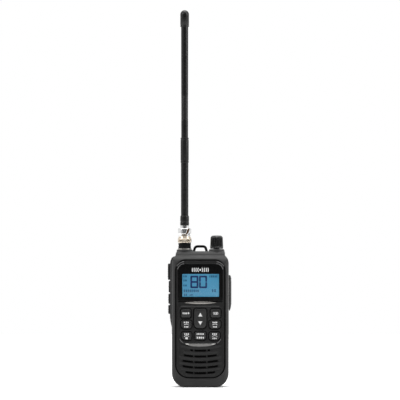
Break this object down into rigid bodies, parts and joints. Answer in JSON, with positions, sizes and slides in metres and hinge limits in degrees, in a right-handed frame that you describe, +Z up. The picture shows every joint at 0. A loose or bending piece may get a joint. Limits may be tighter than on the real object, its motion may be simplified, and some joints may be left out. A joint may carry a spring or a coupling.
{
  "type": "handheld radio transceiver",
  "caption": "Handheld two-way radio with a lit display, front keypad, speaker grille, top knob, side keys and a detachable bayonet whip antenna.",
  "frame": {"origin": "centre of the flat base that the radio stands on", "axes": "+Z up along the antenna, front face towards -Y, +X to the right seen from the front"},
  "size_m": [0.0668, 0.044, 0.3975],
  "materials": {
    "shell_plastic": "fine moulded texture, satin",
    "panel_plastic": "smooth satin black moulding",
    "key_rubber": "matt silicone with printed white marks",
    "side_rubber": "matt black rubber",
    "lens": "gloss black window",
    "lcd": "blue backlit display",
    "diffuser": "milky light guide",
    "trim_metal": "satin plated trim",
    "knob_plastic": "fine grained black",
    "nickel": "warm nickel plate",
    "ferrule": "bright nickel plate",
    "gold_contact": "gold plated",
    "antenna_rubber": "semi gloss heat shrink sleeve",
    "fibre": "glass fibre rod",
    "steel": "zinc plated",
    "tin": "tinned sheet",
    "board": "green solder mask",
    "speaker_black": "black",
    "cone_paper": "paper cone",
    "internal_plastic": "black",
    "cell_can": "blue sleeve over a metal can"
  },
  "bodies": {
    "radio": {"front_shell": "shell_plastic", "rear_shell": "shell_plastic", "front_panel": "panel_plastic", "case_screws": "steel", "strap_loop": "knob_plastic", "display_lens": "lens", "lcd_panel": "lcd", "backlight": "diffuser", "display_trim": "trim_metal", "crescent_trim": "trim_metal", "keypad_membrane": "side_rubber", "speaker_mesh": "speaker_black", "speaker_frame": "speaker_black", "speaker_cone": "cone_paper", "microphone": "steel", "side_switch_board": "board", "jack_block": "internal_plastic", "main_board": "board", "board_screws": "steel", "shield_can": "tin", "control_body": "internal_plastic", "control_nut": "nickel", "bnc_jack": "nickel", "jack_contact": "gold_contact", "jack_nut": "nickel", "seal_ring": "knob_plastic", "battery_contacts": "gold_contact"},
    "knob": {"volume_knob": "knob_plastic", "control_shaft": "steel"},
    "cover": {"jack_cover": "side_rubber"},
    "rocker": {"rocker_key": "key_rubber"},
    "antenna": {"plug_body": "ferrule", "contact_pin": "gold_contact", "antenna_boot": "antenna_rubber", "lower_rod": "antenna_rubber", "joint_sleeve": "antenna_rubber", "upper_rod": "antenna_rubber", "tip_cap": "antenna_rubber", "antenna_core": "fibre"},
    "nut": {"coupling_nut": "nickel"},
    "battery": {"battery_case": "shell_plastic", "battery_cells": "cell_can", "clip_bracket": "panel_plastic", "clip_screws": "steel", "clip_pin": "steel", "clip_spring": "steel"},
    "latch": {"battery_latch": "panel_plastic"},
    "clip": {"belt_clip": "panel_plastic"},
    "key_left_1_body": {"key_left_1": "key_rubber"},
    "key_right_1_body": {"key_right_1": "key_rubber"},
    "key_left_2_body": {"key_left_2": "key_rubber"},
    "key_right_2_body": {"key_right_2": "key_rubber"},
    "key_left_3_body": {"key_left_3": "key_rubber"},
    "key_right_3_body": {"key_right_3": "key_rubber"},
    "key_mid_3_body": {"key_mid_3": "key_rubber"},
    "ptt_key_body": {"ptt_key": "side_rubber"},
    "side_key_1_body": {"side_key_1": "side_rubber"},
    "side_key_2_body": {"side_key_2": "side_rubber"},
    "side_key_3_body": {"side_key_3": "side_rubber"}
  },
  "joints": [
    {"name": "knob_turn", "type": "hinge", "parent": "radio", "child": "knob", "pos_m": [0.0173, 0, 0.15], "axis": [0, 0, -1], "range_deg": [0, 280]},
    {"name": "cover_open", "type": "hinge", "parent": "radio", "child": "cover", "pos_m": [0.031, 0.0063, 0.1], "axis": [0, 0, 1], "range_deg": [0, 120]},
    {"name": "rocker_tilt", "type": "hinge", "parent": "radio", "child": "rocker", "pos_m": [0, -0.0152, 0.0726], "axis": [1, 0, 0], "range_deg": [-3, 3], "stiffness_Nm_per_rad": 0.2},
    {"name": "antenna_lift", "type": "slide", "parent": "radio", "child": "antenna", "axis": [0, 0, 1], "range_m": [0, 0.014]},
    {"name": "nut_turn", "type": "hinge", "parent": "antenna", "child": "nut", "pos_m": [-0.0165, 0, 0.158], "axis": [0, 0, -1], "range_deg": [0, 90]},
    {"name": "battery_swing", "type": "hinge", "parent": "radio", "child": "battery", "pos_m": [0, 0.0155, 0.0105], "axis": [-1, 0, 0], "range_deg": [0, 30]},
    {"name": "latch_slide", "type": "slide", "parent": "radio", "child": "latch", "axis": [0, 0, 1], "range_m": [0, 0.0025], "stiffness_N_per_m": 400},
    {"name": "clip_open", "type": "hinge", "parent": "battery", "child": "clip", "pos_m": [0, 0.0226, 0.084], "axis": [1, 0, 0], "range_deg": [0, 15], "stiffness_Nm_per_rad": 0.4},
    {"name": "key_left_1_press", "type": "slide", "parent": "radio", "child": "key_left_1_body", "axis": [0, 1, 0], "range_m": [0, 0.0007], "stiffness_N_per_m": 1500},
    {"name": "key_right_1_press", "type": "slide", "parent": "radio", "child": "key_right_1_body", "axis": [0, 1, 0], "range_m": [0, 0.0007], "stiffness_N_per_m": 1500},
    {"name": "key_left_2_press", "type": "slide", "parent": "radio", "child": "key_left_2_body", "axis": [0, 1, 0], "range_m": [0, 0.0007], "stiffness_N_per_m": 1500},
    {"name": "key_right_2_press", "type": "slide", "parent": "radio", "child": "key_right_2_body", "axis": [0, 1, 0], "range_m": [0, 0.0007], "stiffness_N_per_m": 1500},
    {"name": "key_left_3_press", "type": "slide", "parent": "radio", "child": "key_left_3_body", "axis": [0, 1, 0], "range_m": [0, 0.0007], "stiffness_N_per_m": 1500},
    {"name": "key_right_3_press", "type": "slide", "parent": "radio", "child": "key_right_3_body", "axis": [0, 1, 0], "range_m": [0, 0.0007], "stiffness_N_per_m": 1500},
    {"name": "key_mid_3_press", "type": "slide", "parent": "radio", "child": "key_mid_3_body", "axis": [0, 1, 0], "range_m": [0, 0.0007], "stiffness_N_per_m": 1500},
    {"name": "ptt_key_press", "type": "slide", "parent": "radio", "child": "ptt_key_body", "axis": [1, 0, 0], "range_m": [0, 0.0008], "stiffness_N_per_m": 2000},
    {"name": "side_key_1_press", "type": "slide", "parent": "radio", "child": "side_key_1_body", "axis": [1, 0, 0], "range_m": [0, 0.0008], "stiffness_N_per_m": 2000},
    {"name": "side_key_2_press", "type": "slide", "parent": "radio", "child": "side_key_2_body", "axis": [1, 0, 0], "range_m": [0, 0.0008], "stiffness_N_per_m": 2000},
    {"name": "side_key_3_press", "type": "slide", "parent": "radio", "child": "side_key_3_body", "axis": [1, 0, 0], "range_m": [0, 0.0008], "stiffness_N_per_m": 2000}
  ]
}
